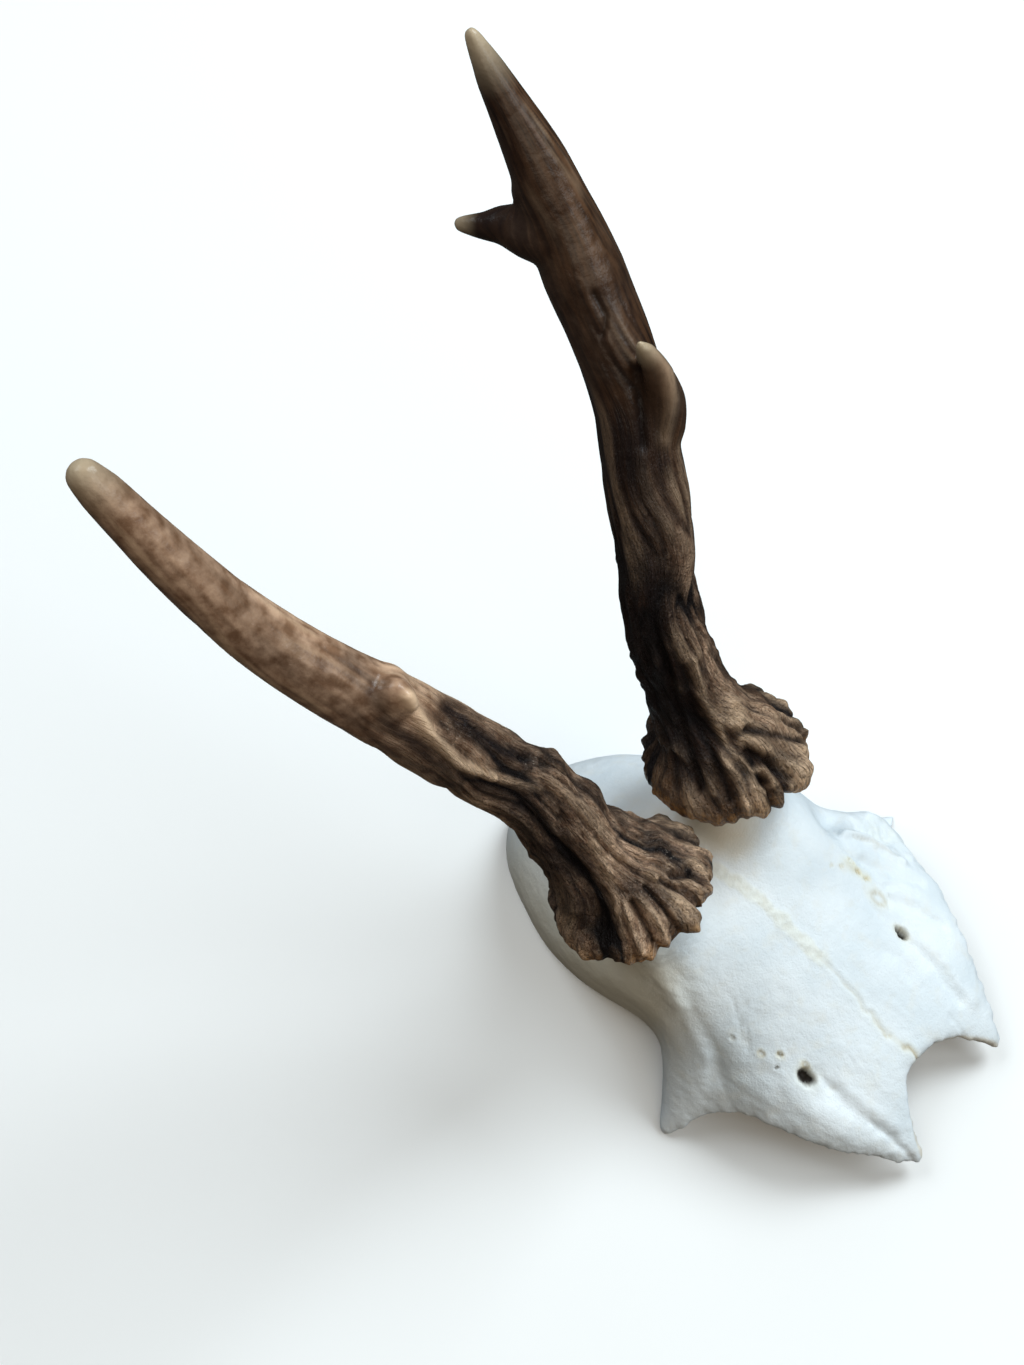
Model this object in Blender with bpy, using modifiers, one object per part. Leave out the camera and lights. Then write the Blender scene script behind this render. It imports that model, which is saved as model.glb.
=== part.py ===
"""Skull cap of a roe buck with its two antlers, sawn level under the braincase.

The nose points to -Y and the animal's left is +X. The origin lies on the level saw cut, below the
middle of the whole, so the cap rests on Z = 0. The left antler has three points; the right one is a
long spike with a low knob where its front tine never grew.
"""

import bmesh
import bpy
import numpy as np
from mathutils import Matrix, Vector

MM = 0.001

# Driving dimensions, in millimetres. The swell widens the left orbital rim and temple.
BONE_THICKNESS = 3.0
SEAM_GAP = 0.3
CORONET_RADIUS = 16.4
CORONET_LUMPS = 15
PEDICLE_RADIUS = 10.8
PEDICLE_SPREAD = 13.0
PEDICLE_RISE = 5.0
PEDICLE_PLACE = (16.0, 1.0)
BLEND_HEIGHT = 37.0
BLEND_REACH = 7.0
LUMP_HEIGHT = 2.6
LEFT_SWELL = 5.0
LEFT_SWELL_ALONG = -22.0
LEFT_SWELL_REACH = 23.0

# Sizes below are measured from a point on the skull's middle plane, under the pedicles. This is how
# far the middle of the whole lies from it.
MIDDLE_OF_WHOLE = (0.2, 10.9, 0.0)

# Fineness of the melted skins, and about how many triangles each is thinned to
CAP_SKIN = 0.9
CAP_TRIANGLES = 4600
ANTLER_SKIN = 0.6
ANTLER_TRIANGLES = 2600

# Where each antler grew from its pedicle: centre of the seam, and the direction it faces
LEFT, RIGHT = 1, -1
SEAMS = {
    LEFT: ((17.0, 8.2, 47.8), (0.17, 0.22, 0.96)),
    RIGHT: ((-16.8, 4.8, 48.2), (0.08, 0.50, 0.86)),
}

# Half of the cap as rows from the nose to the rear, each from the midline out to the edge, as
# (out from the midline, along Y, height). The rear rows and the two orbital tips reach a little
# below the saw cut, which then trims them level.
CAP_ROWS = (
    ((0, -56, 14.5), (7.0, -57.8, 13.5), (13.0, -66.4, 6.8),
     (14.5, -69.3, 4.4), (15.6, -69, 3.8), (17.0, -67.5, 4.0)),
    ((0, -54, 15.8), (7.5, -56, 15.3), (13.5, -60, 12.5),
     (17.2, -62, 10.2), (19.2, -62, 8.8), (20.6, -62, 7.0)),
    ((0, -48, 18.6), (8.0, -49, 18.4), (16.0, -51, 16.6),
     (21.6, -52, 15.2), (25.6, -52, 13.6), (27.3, -51.6, 11.2)),
    ((0, -38, 23.4), (9.0, -38.5, 22.9), (17.5, -39, 20.2),
     (24.8, -39.5, 19.0), (29.4, -39.5, 15.8), (30.4, -39.5, 12.4)),
    ((0, -28, 28.2), (9.0, -28, 27.4), (18.0, -28.5, 24.4),
     (25.4, -28.5, 20.4), (30.2, -28.4, 13.6), (31.4, -28.2, 9.4)),
    ((0, -20, 31.8), (9.5, -20, 31.2), (18.5, -21, 28.2),
     (26.0, -22.5, 22.4), (36.5, -24, 9.0), (45.0, -22.6, -1.5)),
    ((0, -13, 34.0), (9.5, -13, 33.8), (18.0, -13.5, 32.0),
     (25.0, -15, 26.8), (32.8, -17.4, 12.6), (43.6, -20, -1.5)),
    ((0, -6, 35.4), (9.5, -6, 35.6), (17.5, -6, 34.6),
     (24.2, -7.4, 30.4), (28.0, -10, 19.0), (22.8, -11.6, -1.5)),
    ((0, 4, 35.6), (9.0, 4, 36.0), (17.0, 4, 36.0),
     (24.6, 4, 31.6), (29.4, 3, 19.5), (25.4, 2.6, -1.5)),
    ((0, 16, 32.6), (8.5, 16, 32.4), (16.0, 16, 30.8),
     (23.0, 15.5, 25.4), (28.2, 15, 15.5), (26.4, 15, -1.5)),
    ((0, 29, 27.0), (7.5, 29, 26.4), (13.6, 28.5, 24.0),
     (19.2, 28, 18.8), (23.2, 27, 10.6), (22.8, 27, -1.5)),
    ((0, 39.6, 18.6), (5.8, 39.6, 18.0), (10.6, 39, 16.0),
     (14.4, 38.6, 12.0), (16.6, 38, 6.6), (16.8, 38, -1.5)),
    ((0, 45.4, 9.0), (4.3, 45, 8.6), (7.7, 44.4, 7.2),
     (10.2, 43.4, 5.2), (12.2, 42.4, 2.6), (13.0, 42, -1.5)),
    ((0, 48, -1.5), (3.5, 47.6, -1.5), (6.6, 46.6, -1.5),
     (9.0, 45.2, -1.5), (10.8, 44, -1.5), (12.0, 43, -1.5)),
)

# The beams' middle line above the seam: out from the midline, along Y, height
BEAM_LINE = (
    (17.0, 6.6, 47.2),
    (17.0, 9.6, 53.0),
    (17.5, 14.0, 59.5),
    (18.7, 19.8, 67.5),
    (21.5, 28.5, 85.0),
    (27.0, 35.5, 100.0),
    (32.2, 42.0, 114.0),
    (37.2, 49.5, 126.5),
    (42.7, 63.0, 141.5),
    (45.9, 74.5, 158.0),
    (47.2, 84.5, 171.5),
)
LEFT_BEAM = (BEAM_LINE + ((47.8, 89.0, 177.6),), (10.0, 12.6, 10.0, 8.4, 7.7, 7.6, 7.6, 7.0, 7.3, 5.3, 3.0, 1.5))
RIGHT_BEAM = (BEAM_LINE + ((47.5, 86.6, 174.2),), (10.0, 13.0, 10.8, 8.6, 7.4, 7.1, 7.1, 6.4, 5.5, 4.6, 3.6, 3.0))

# Tines and the knob: middle line and radii, as for the beams
FRONT_TINE = (
    ((34.5, 46.0, 113), (36.0, 42.5, 118), (37.4, 42.0, 124), (37.9, 43.2, 130), (37.0, 45.1, 138), (36.2, 46.4, 142)),
    (6.0, 5.6, 4.6, 3.7, 2.2, 1.0),
)
REAR_TINE = (
    ((43.5, 68.5, 147), (41.2, 72.0, 146.8), (39.6, 77.4, 146), (38.0, 80.6, 145), (36.6, 84.4, 144)),
    (6.5, 5.2, 3.6, 2.5, 1.6),
)
KNOB = (((36.5, 48.0, 122), (35.5, 45.0, 126.5), (34.8, 43.2, 129.4)), (6.0, 5.0, 3.2))

# Profile of a coronet and of the flare above it: radius as a share of the coronet's, height above the seam
CORONET_PROFILE = (
    (0.0, -1.0), (0.50, -1.0), (0.86, -0.6), (0.98, 1.4), (1.0, 3.6), (0.95, 5.8),
    (0.83, 8.2), (0.70, 11.2), (0.60, 15.0), (0.0, 18.0),
)

BONE_COLOUR = (0.80, 0.80, 0.76, 1.0)
ANTLER_COLOUR = (0.13, 0.065, 0.03, 1.0)


def clear_scene():
    for obj in list(bpy.data.objects):
        bpy.data.objects.remove(obj, do_unlink=True)


def collection_named(name):
    made = bpy.data.collections.new(name)
    bpy.context.scene.collection.children.link(made)
    return made


def material_named(name, colour, roughness):
    made = bpy.data.materials.new(name)
    made.use_nodes = True
    shader = made.node_tree.nodes["Principled BSDF"]
    shader.inputs["Base Color"].default_value = colour
    shader.inputs["Roughness"].default_value = roughness
    shader.inputs["Metallic"].default_value = 0.0
    return made


def object_from(mesh, name, collection):
    obj = bpy.data.objects.new(name, mesh)
    collection.objects.link(obj)
    return obj


def baked(obj):
    """The object's mesh as its modifiers leave it, in world space; the object is then removed."""
    bpy.context.view_layer.update()
    evaluated = obj.evaluated_get(bpy.context.evaluated_depsgraph_get())
    mesh = bpy.data.meshes.new_from_object(evaluated)
    mesh.transform(obj.matrix_world)
    bpy.data.objects.remove(obj, do_unlink=True)
    return mesh


def tube(name, course, side, collection):
    """A tapered round tube along a smooth line, closed at both ends, as a mesh."""
    line, radii = course
    curve = bpy.data.curves.new(name, "CURVE")
    curve.dimensions = "3D"
    curve.bevel_depth = MM
    curve.bevel_resolution = 6
    curve.resolution_u = 8
    curve.use_fill_caps = True
    spline = curve.splines.new("BEZIER")
    spline.bezier_points.add(len(line) - 1)
    for point, (out, along, height), radius in zip(spline.bezier_points, line, radii):
        point.co = Vector((side * out, along, height)) * MM
        point.radius = radius
        point.handle_left_type = "AUTO"
        point.handle_right_type = "AUTO"
    mesh = baked(object_from(curve, name, collection))
    end_ball(mesh, Vector((side * line[-1][0], line[-1][1], line[-1][2])) * MM, radii[-1] * MM)
    return mesh


def end_ball(mesh, centre, radius):
    """Adds a small ball to a tube's end, so that its point is round."""
    work = bmesh.new()
    work.from_mesh(mesh)
    bmesh.ops.remove_doubles(work, verts=work.verts, dist=0.00001)
    bmesh.ops.create_icosphere(work, subdivisions=3, radius=radius, matrix=Matrix.Translation(centre))
    work.to_mesh(mesh)
    work.free()


def joined(name, meshes, collection):
    """One object holding several overlapping closed meshes."""
    work = bmesh.new()
    for mesh in meshes:
        work.from_mesh(mesh)
    whole = bpy.data.meshes.new(name)
    work.to_mesh(whole)
    work.free()
    return object_from(whole, name, collection)


def fused(obj, voxel, smoothing):
    """Melts the object's overlapping shells into one skin and evens it out."""
    remesh = obj.modifiers.new("melt together", "REMESH")
    remesh.mode = "VOXEL"
    remesh.voxel_size = voxel * MM
    smooth = obj.modifiers.new("even out", "SMOOTH")
    smooth.factor = 0.5
    smooth.iterations = smoothing
    return baked(obj)


def thinned(obj, triangles):
    """Lowers the face count to about this many triangles."""
    obj.data.calc_loop_triangles()
    fewer = obj.modifiers.new("fewer faces", "DECIMATE")
    fewer.ratio = min(1.0, triangles / len(obj.data.loop_triangles))
    return baked(obj)


def cutting_box(name, centre, normal, size, collection):
    """A box whose one face lies on the plane through centre, with the box on the side of the normal."""
    bpy.ops.mesh.primitive_cube_add(size=1.0)
    box = bpy.context.active_object
    box.name = name
    turn = Vector(normal).to_track_quat("Z", "Y").to_matrix().to_4x4()
    middle = Matrix.Translation((0, 0, size / 2)) @ Matrix.Scale(size, 4)
    box.data.transform(Matrix.Translation(centre) @ turn @ middle)
    for holder in list(box.users_collection):
        holder.objects.unlink(box)
    collection.objects.link(box)
    box.hide_render = True
    box.display_type = "WIRE"
    return box


def cut(obj, cutter):
    boolean = obj.modifiers.new("cut by " + cutter.name, "BOOLEAN")
    boolean.operation = "DIFFERENCE"
    boolean.solver = "EXACT"
    boolean.object = cutter


def seam(side):
    """Centre and unit normal of the plane where an antler meets its pedicle."""
    centre, normal = SEAMS[side]
    return Vector(centre) * MM, Vector(normal).normalized()


def cap_sheet(collection):
    """The bone of the cap without its pedicles: a coarse half cage, mirrored, smoothed and thickened."""
    columns = len(CAP_ROWS[0])
    across = [-column for column in range(columns - 1, 0, -1)] + list(range(columns))
    points = []
    for row in CAP_ROWS:
        for column in across:
            out, along, height = row[abs(column)]
            side = RIGHT if column < 0 else LEFT
            swell = 0.0
            if column >= 3:
                swell = LEFT_SWELL * np.exp(-(((along - LEFT_SWELL_ALONG) / LEFT_SWELL_REACH) ** 4))
            away = np.hypot(out - PEDICLE_PLACE[0], along - PEDICLE_PLACE[1]) / PEDICLE_SPREAD
            rise = PEDICLE_RISE * np.exp(-(away**2)) if height > 0 else 0.0
            points.append(((side * out + swell) * MM, along * MM, (height + rise) * MM))
    width = len(across)
    faces = [
        (r * width + c, r * width + c + 1, (r + 1) * width + c + 1, (r + 1) * width + c)
        for r in range(len(CAP_ROWS) - 1)
        for c in range(width - 1)
    ]
    mesh = bpy.data.meshes.new("cap sheet")
    mesh.from_pydata(points, [], faces)
    sheet = object_from(mesh, "cap sheet", collection)
    rounding = sheet.modifiers.new("rounding", "SUBSURF")
    rounding.levels = 3
    rounding.render_levels = 3
    bone = sheet.modifiers.new("bone", "SOLIDIFY")
    bone.thickness = BONE_THICKNESS * MM
    bone.offset = -1.0
    bone.use_even_offset = True
    return baked(sheet)


def pedicle(side, collection):
    """A short broad bone stalk from inside the forehead past the seam, where it is cut."""
    centre, normal = seam(side)
    top = centre / MM + normal * 4.0
    line = ((14.0, 1.6, 34.5), (15.2, 3.2, 39.5), (side * top[0], top[1], top[2]))
    radii = (PEDICLE_RADIUS * 0.9, PEDICLE_RADIUS * 0.98, PEDICLE_RADIUS)
    return tube("pedicle", (line, radii), side, collection)


def pedicles_blended(cap):
    """Smooths the skin where each pedicle rises from the forehead, so that the bone flows up into it."""
    roots = cap.vertex_groups.new(name="pedicle roots")
    for vertex in cap.data.vertices:
        point = vertex.co / MM
        beside = np.hypot(abs(point.x) - PEDICLE_PLACE[0], point.y - PEDICLE_PLACE[1])
        level = abs(point.z - BLEND_HEIGHT) / BLEND_REACH
        weight = np.clip(2.0 - level, 0, 1) * np.clip((2.4 * PEDICLE_RADIUS - beside) / PEDICLE_RADIUS, 0, 1)
        if weight > 0:
            roots.add((vertex.index,), float(weight), "REPLACE")
    blend = cap.modifiers.new("blend the roots", "SMOOTH")
    blend.vertex_group = roots.name
    blend.factor = 0.5
    blend.iterations = 160
    return baked(cap)


def skull_cap(parts, cutters):
    """Frontal bones and front of the braincase in one, with both pedicles."""
    meshes = [cap_sheet(parts), pedicle(LEFT, parts), pedicle(RIGHT, parts)]
    melted = fused(joined("skull_cap", meshes, parts), CAP_SKIN, 5)
    blended = pedicles_blended(object_from(melted, "skull_cap", parts))
    cap = object_from(thinned(object_from(blended, "skull_cap", parts), CAP_TRIANGLES), "skull_cap", parts)
    cut(cap, cutting_box("saw cut", Vector((0, 0, 0)), (0, 0, -1), 0.3, cutters))
    for side, name in ((LEFT, "above left seam"), (RIGHT, "above right seam")):
        centre, normal = seam(side)
        cut(cap, cutting_box(name, centre, normal, 0.03, cutters))
    return cap


def coronet(side, collection):
    """The turned form of a coronet, standing on its seam."""
    mesh = bpy.data.meshes.new("coronet")
    points = [(share * CORONET_RADIUS * MM, 0, height * MM) for share, height in reversed(CORONET_PROFILE)]
    mesh.from_pydata(points, [(i, i + 1) for i in range(len(points) - 1)], [])
    ring = object_from(mesh, "coronet", collection)
    turn = ring.modifiers.new("turn", "SCREW")
    turn.steps = 48
    turn.render_steps = 48
    turn.use_merge_vertices = True
    turn.merge_threshold = 0.00001
    centre, normal = seam(side)
    upright = normal.to_track_quat("Z", "Y").to_matrix().to_4x4()
    ring.matrix_world = Matrix.Translation(centre) @ upright
    return baked(ring)


def raise_coronet_lumps(mesh, side):
    """Pushes the skin in and out in rays about the coronet's axis, fading up the flare."""
    count = len(mesh.vertices)
    points = np.empty(count * 3)
    mesh.vertices.foreach_get("co", points)
    points = points.reshape(-1, 3)
    centre, normal = seam(side)
    axis = np.array(normal)
    first = np.cross(axis, (0.0, 1.0, 0.0))
    first /= np.linalg.norm(first)
    second = np.cross(axis, first)
    apart = points - np.array(centre)
    height = apart @ axis / MM
    radial = apart - np.outer(apart @ axis, axis)
    reach = np.linalg.norm(radial, axis=1) / MM
    angle = np.arctan2(radial @ second, radial @ first)
    rays = np.abs(np.sin(CORONET_LUMPS * angle / 2 + 0.9 * np.sin(3 * angle + side))) - 0.55
    uneven = 0.6 + 0.4 * np.sin(2 * angle + 1.3 * side)
    near_rim = np.clip((reach - 8.0) / 6.0, 0, 1) * np.exp(-np.clip(height - 4.0, 0, None) / 6.0)
    outward = radial / np.maximum(reach[:, None] * MM, 1e-9)
    points += outward * (LUMP_HEIGHT * MM * rays * uneven * near_rim)[:, None]
    mesh.vertices.foreach_set("co", points.ravel())
    mesh.update()


def antler(name, side, courses, parts, cutters):
    """One antler as grown: beam, coronet and any tines in a single solid, cut level with its seam."""
    meshes = [coronet(side, parts)]
    for course in courses:
        meshes.append(tube("beam or tine", course, side, parts))
    melted = fused(joined(name, meshes, parts), ANTLER_SKIN, 6)
    raise_coronet_lumps(melted, side)
    horn = object_from(thinned(object_from(melted, name, parts), ANTLER_TRIANGLES), name, parts)
    centre, normal = seam(side)
    below = cutting_box("below " + name, centre + normal * SEAM_GAP * MM, -normal, 0.06, cutters)
    cut(horn, below)
    return horn


def main():
    clear_scene()
    parts = collection_named("roe deer skull mount")
    cutters = collection_named("cutters")
    bone = material_named("bleached bone", BONE_COLOUR, 0.55)
    horn = material_named("antler", ANTLER_COLOUR, 0.5)
    cap = skull_cap(parts, cutters)
    left = antler("left_antler", LEFT, (LEFT_BEAM, FRONT_TINE, REAR_TINE), parts, cutters)
    right = antler("right_antler", RIGHT, (RIGHT_BEAM, KNOB), parts, cutters)
    for obj in list(parts.objects) + list(cutters.objects):
        obj.location = -Vector(MIDDLE_OF_WHOLE) * MM
    for obj, material in ((cap, bone), (left, horn), (right, horn)):
        obj.data.materials.clear()
        obj.data.materials.append(material)
        obj.data.shade_smooth()


main()
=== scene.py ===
import bpy
import numpy as np
from mathutils import Matrix


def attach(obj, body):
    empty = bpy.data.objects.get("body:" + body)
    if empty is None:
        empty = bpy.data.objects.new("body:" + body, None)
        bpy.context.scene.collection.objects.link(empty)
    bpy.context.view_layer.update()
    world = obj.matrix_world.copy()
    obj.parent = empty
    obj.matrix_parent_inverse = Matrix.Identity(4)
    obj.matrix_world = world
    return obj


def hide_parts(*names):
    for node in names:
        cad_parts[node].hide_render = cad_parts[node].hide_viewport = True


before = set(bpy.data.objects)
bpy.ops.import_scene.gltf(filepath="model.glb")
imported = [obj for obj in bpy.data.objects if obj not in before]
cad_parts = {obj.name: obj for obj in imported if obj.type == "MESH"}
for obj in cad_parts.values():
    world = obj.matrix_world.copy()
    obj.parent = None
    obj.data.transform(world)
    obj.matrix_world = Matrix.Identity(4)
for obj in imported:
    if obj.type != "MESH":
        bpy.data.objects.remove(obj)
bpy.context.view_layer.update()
MM = 0.001

# The view: a long lens that looks down on the forehead from the animal's right and front, so the nose
# end points to the picture's lower right.
look = bpy.data.cameras.new("view")
look.sensor_width = 36.0
look.sensor_fit = "AUTO"
look.lens = 54.07
look.clip_start = 0.01
camera = bpy.data.objects.new("view", look)
bpy.context.scene.collection.objects.link(camera)
picture_right = (0.6056, -0.7954, -0.0250)
picture_up = (0.7352, 0.5472, 0.4000)
towards_viewer = (-0.3045, -0.2607, 0.9162)
camera.matrix_world = Matrix.Translation((-0.12284, -0.06780, 0.43379)) @ Matrix(
    (picture_right, picture_up, towards_viewer)
).transposed().to_4x4()
bpy.context.scene.camera = camera
bpy.context.scene.view_settings.view_transform = "Standard"

# The table it lies on: plain and nearly white, far larger than the skull. It throws no light back up
# at the bone and isn't mirrored in it, because the real skull's undersides are dark.
TABLE_HALF = 4.0
TABLE_TOP = -0.0002
table_corners = [(x * TABLE_HALF, y * TABLE_HALF, TABLE_TOP) for x, y in ((-1, -1), (1, -1), (1, 1), (-1, 1))]
table_mesh = bpy.data.meshes.new("table")
table_mesh.from_pydata(table_corners, [], [(0, 1, 2, 3)])
table = bpy.data.objects.new("table", table_mesh)
bpy.context.scene.collection.objects.link(table)
table.visible_diffuse = False
table.visible_glossy = False
table_white = bpy.data.materials.new("table white")
table_white.use_nodes = True
table_white.node_tree.nodes["Principled BSDF"].inputs["Base Color"].default_value = (0.90, 0.90, 0.90, 1)
table_white.node_tree.nodes["Principled BSDF"].inputs["Roughness"].default_value = 0.8
table_mesh.materials.append(table_white)


# The light: soft and cool from a broad window high on the animal's left and from the sky before and
# behind it, with a little warm light back from the room.
def window(name, place, size, watts, tint):
    """A square of light, this many metres wide, that faces the middle of the table."""
    lamp = bpy.data.lights.new(name, "AREA")
    lamp.shape = "SQUARE"
    lamp.size = size
    lamp.energy = watts
    lamp.color = tint
    holder = bpy.data.objects.new(name, lamp)
    bpy.context.scene.collection.objects.link(holder)
    stand = Matrix.Translation(place)
    holder.matrix_world = stand @ stand.to_translation().to_track_quat("Z", "Y").to_matrix().to_4x4()


window("side window", (0.70, -0.12, 0.78), 0.5, 8.7, (0.85, 0.95, 1.0))
window("front skylight", (0.30, -0.75, 0.75), 0.6, 3.6, (0.86, 0.955, 1.0))
window("rear skylight", (0.05, 0.70, 0.85), 0.6, 5.2, (0.88, 0.96, 1.0))
window("light wall", (-0.50, -0.50, 0.85), 0.9, 3.0, (1.0, 0.90, 0.74))
room = bpy.data.worlds.new("room")
room.use_nodes = True
room.node_tree.nodes["Background"].inputs["Color"].default_value = (1.0, 0.94, 0.84, 1)
room.node_tree.nodes["Background"].inputs["Strength"].default_value = 0.05
bpy.context.scene.world = room

# The skull cap: both frontal bones, knitted along the middle, with the front of the braincase and the
# two pedicles. It is bone boiled clean and bleached, about 3 mm thick, and it is sawn level below.

# The middle of the whole, in mm from a point on the skull's middle plane under the pedicles
MIDDLE_OF_WHOLE = np.array((0.2, 10.9, 0.0))
UP_IN_VIEW = np.array(picture_up)
RIGHT_IN_VIEW = np.array(picture_right)
TO_VIEWER = np.array(towards_viewer)


def fine_copy(node, name, grain, rounds):
    """A dense, evened-out copy of a solid, ready to take relief."""
    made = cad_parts[node].copy()
    made.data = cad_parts[node].data.copy()
    made.name = name
    bpy.context.scene.collection.objects.link(made)
    made.data.materials.clear()
    denser = made.modifiers.new("denser", "REMESH")
    denser.mode = "VOXEL"
    denser.voxel_size = grain * MM
    even = made.modifiers.new("even", "SMOOTH")
    even.factor = 0.5
    even.iterations = rounds
    bpy.context.view_layer.update()
    mesh = bpy.data.meshes.new_from_object(made.evaluated_get(bpy.context.evaluated_depsgraph_get()))
    made.modifiers.clear()
    made.data = mesh
    mesh.shade_smooth()
    return made


def spots(obj):
    """Its points in mm from the skull's middle plane, and the direction that the surface faces at each."""
    count = len(obj.data.vertices)
    place = np.empty(count * 3)
    facing = np.empty(count * 3)
    obj.data.vertices.foreach_get("co", place)
    obj.data.vertex_normals.foreach_get("vector", facing)
    return place.reshape(-1, 3) / MM + MIDDLE_OF_WHOLE, facing.reshape(-1, 3)


def put(obj, place):
    """Moves its points to these places and gives the new places and directions."""
    obj.data.vertices.foreach_set("co", ((place - MIDDLE_OF_WHOLE) * MM).ravel())
    obj.data.update()
    return spots(obj)


def note(obj, name, values):
    """Stores a value or a place at every point, for the material to read."""
    kind = "FLOAT_VECTOR" if values.ndim == 2 else "FLOAT"
    made = obj.data.attributes.new(name, kind, "POINT")
    made.data.foreach_set("vector" if kind == "FLOAT_VECTOR" else "value", values.astype(np.float32).ravel())


def patches(place, size, seed):
    """Smooth random patches about this many mm across, from 0 to 1."""
    dice = np.random.default_rng(seed).random((24, 24, 24))
    at = place / size + 100.0
    low = np.floor(at).astype(int)
    part = at - low
    part = part * part * (3 - 2 * part)
    total = np.zeros(len(place))
    for dx in (0, 1):
        for dy in (0, 1):
            for dz in (0, 1):
                share = (
                    (part[:, 0] if dx else 1 - part[:, 0])
                    * (part[:, 1] if dy else 1 - part[:, 1])
                    * (part[:, 2] if dz else 1 - part[:, 2])
                )
                total += share * dice[(low[:, 0] + dx) % 24, (low[:, 1] + dy) % 24, (low[:, 2] + dz) % 24]
    return total


def beside(place, course):
    """Distance in mm from a course of straight steps, and how far along it, from 0 to 1."""
    course = np.asarray(course, float)
    nearest = np.full(len(place), np.inf)
    along = np.zeros(len(place))
    lengths = np.linalg.norm(np.diff(course, axis=0), axis=1)
    passed = 0.0
    for start, step, length in zip(course[:-1], np.diff(course, axis=0), lengths):
        share = np.clip((place - start) @ step / length**2, 0, 1)
        away = np.linalg.norm(place - start - share[:, None] * step, axis=1)
        closer = away < nearest
        nearest = np.where(closer, away, nearest)
        along = np.where(closer, (passed + share * length) / lengths.sum(), along)
        passed += length
    return nearest, along


def dome(away, reach):
    """A soft bell, 1 at its middle and nearly 0 at twice its reach."""
    return np.exp(-((away / reach) ** 2))


def nudged(place, pushes):
    """Moves the surface near each centre by a push, fading out over its reach."""
    moved = place.copy()
    for centre, reach, push in pushes:
        away = np.linalg.norm(place - np.array(centre), axis=1)
        moved += dome(away, reach)[:, None] * np.array(push)
    return moved


cap = fine_copy("skull_cap", "bleached_skull_cap", 0.57, 24)
place, facing = spots(cap)
# The left process is a rounded ear behind a notch, and the rims beside it bulge a little
OUTER_CORNER = 0.589 * RIGHT_IN_VIEW + 0.4836 * UP_IN_VIEW
place, facing = put(cap, nudged(place, (
    ((44.5, -21.5, 4.5), 4.2, -3.4 * OUTER_CORNER),
    ((29.5, -13.0, 26.5), 5.0, -2.6 * UP_IN_VIEW - 2.1 * RIGHT_IN_VIEW),
    ((32.0, -12.5, 23.5), 3.6, -2.2 * UP_IN_VIEW),
    ((38.0, -18.5, 13.0), 3.5, 0.9 * UP_IN_VIEW),
    ((45.5, -22.5, 3.0), 3.0, -1.6 * OUTER_CORNER),
    ((34.0, -37.0, 12.0), 5.5, 1.2 * OUTER_CORNER),
    ((-1.6, -58.5, 13.5), 3.6, -1.9 * RIGHT_IN_VIEW),
)))
plan = place[:, :2]
middle = np.stack([0 * place[:, 0], place[:, 1], np.full(len(place), 8.0)], axis=1)
outer = np.clip(1.2 + ((place - middle) * facing).sum(1) / 4.0, 0, 1)
outer *= np.clip((facing[:, 2] + 0.8) / 0.4, 0, 1)

# The frontal suture wanders off the midline. Behind it is a raised, pebbly band, in front a fine crack.
SUTURE = (
    (0.9, -2.0), (1.7, -10.5), (1.8, -16.6), (1.4, -24.1), (1.0, -30.6), (0.7, -36.3), (-0.6, -40.9),
    (-1.2, -48.4), (-0.4, -57.0),
)
wander = np.stack([patches(place, 1.6, 3) - 0.5, patches(place, 1.6, 4) - 0.5], axis=1)
off, along = beside(plan + 1.3 * wander, SUTURE)
BAND_HALF_WIDTH = 1.7
CRACK_HALF_WIDTH = 0.34
band = np.clip((BAND_HALF_WIDTH - off) / 0.7, 0, 1) * np.clip((0.56 - along) / 0.10, 0, 1)
crack = dome(off, CRACK_HALF_WIDTH) * np.clip((along - 0.40) / 0.10, 0, 1)
pebbles = patches(place, 0.62, 5)
relief = band * (0.14 + 0.55 * (pebbles - 0.5)) - 0.28 * crack + 0.10 * dome(off - 0.9, 0.5) * (along > 0.5)
cream = 0.55 * band + 0.5 * dome(off, 1.1) * np.clip((along - 0.55) / 0.3, 0, 1)
amber = 0.12 * band * np.clip((0.45 - pebbles) / 0.16, 0, 1)
amber += crack * (0.22 + 0.5 * np.clip((along - 0.75) / 0.2, 0, 1))

# Openings for the vessels of the forehead: (across, forward, half width, half length, depth, stain)
PITS = (
    (-18.9, -39.9, 1.25, 1.7, 2.6, 0.45), (-17.2, -38.4, 0.6, 0.8, 0.4, 0.8),
    (-18.9, -33.2, 0.45, 0.6, 0.9, 1.0), (-20.9, -30.0, 0.5, 0.5, 0.25, 0.6),
    (-21.0, -33.9, 0.36, 0.36, 1.2, 0.1), (-22.4, -23.6, 0.35, 0.4, 0.6, 0.2),
    (17.9, -38.8, 0.75, 1.4, 2.4, 0.6), (20.4, -31.0, 1.1, 1.6, 0.35, 0.5),
    (22.0, -26.5, 0.4, 0.5, 0.6, 0.8), (22.0, -24.4, 0.4, 0.6, 0.6, 0.8),
    (22.6, -22.0, 0.35, 0.6, 0.5, 0.8), (18.6, -19.8, 0.3, 0.4, 0.4, 0.4),
    (20.0, -21.3, 0.3, 0.3, 0.5, 0.5),
)
dark = 0 * off
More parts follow.
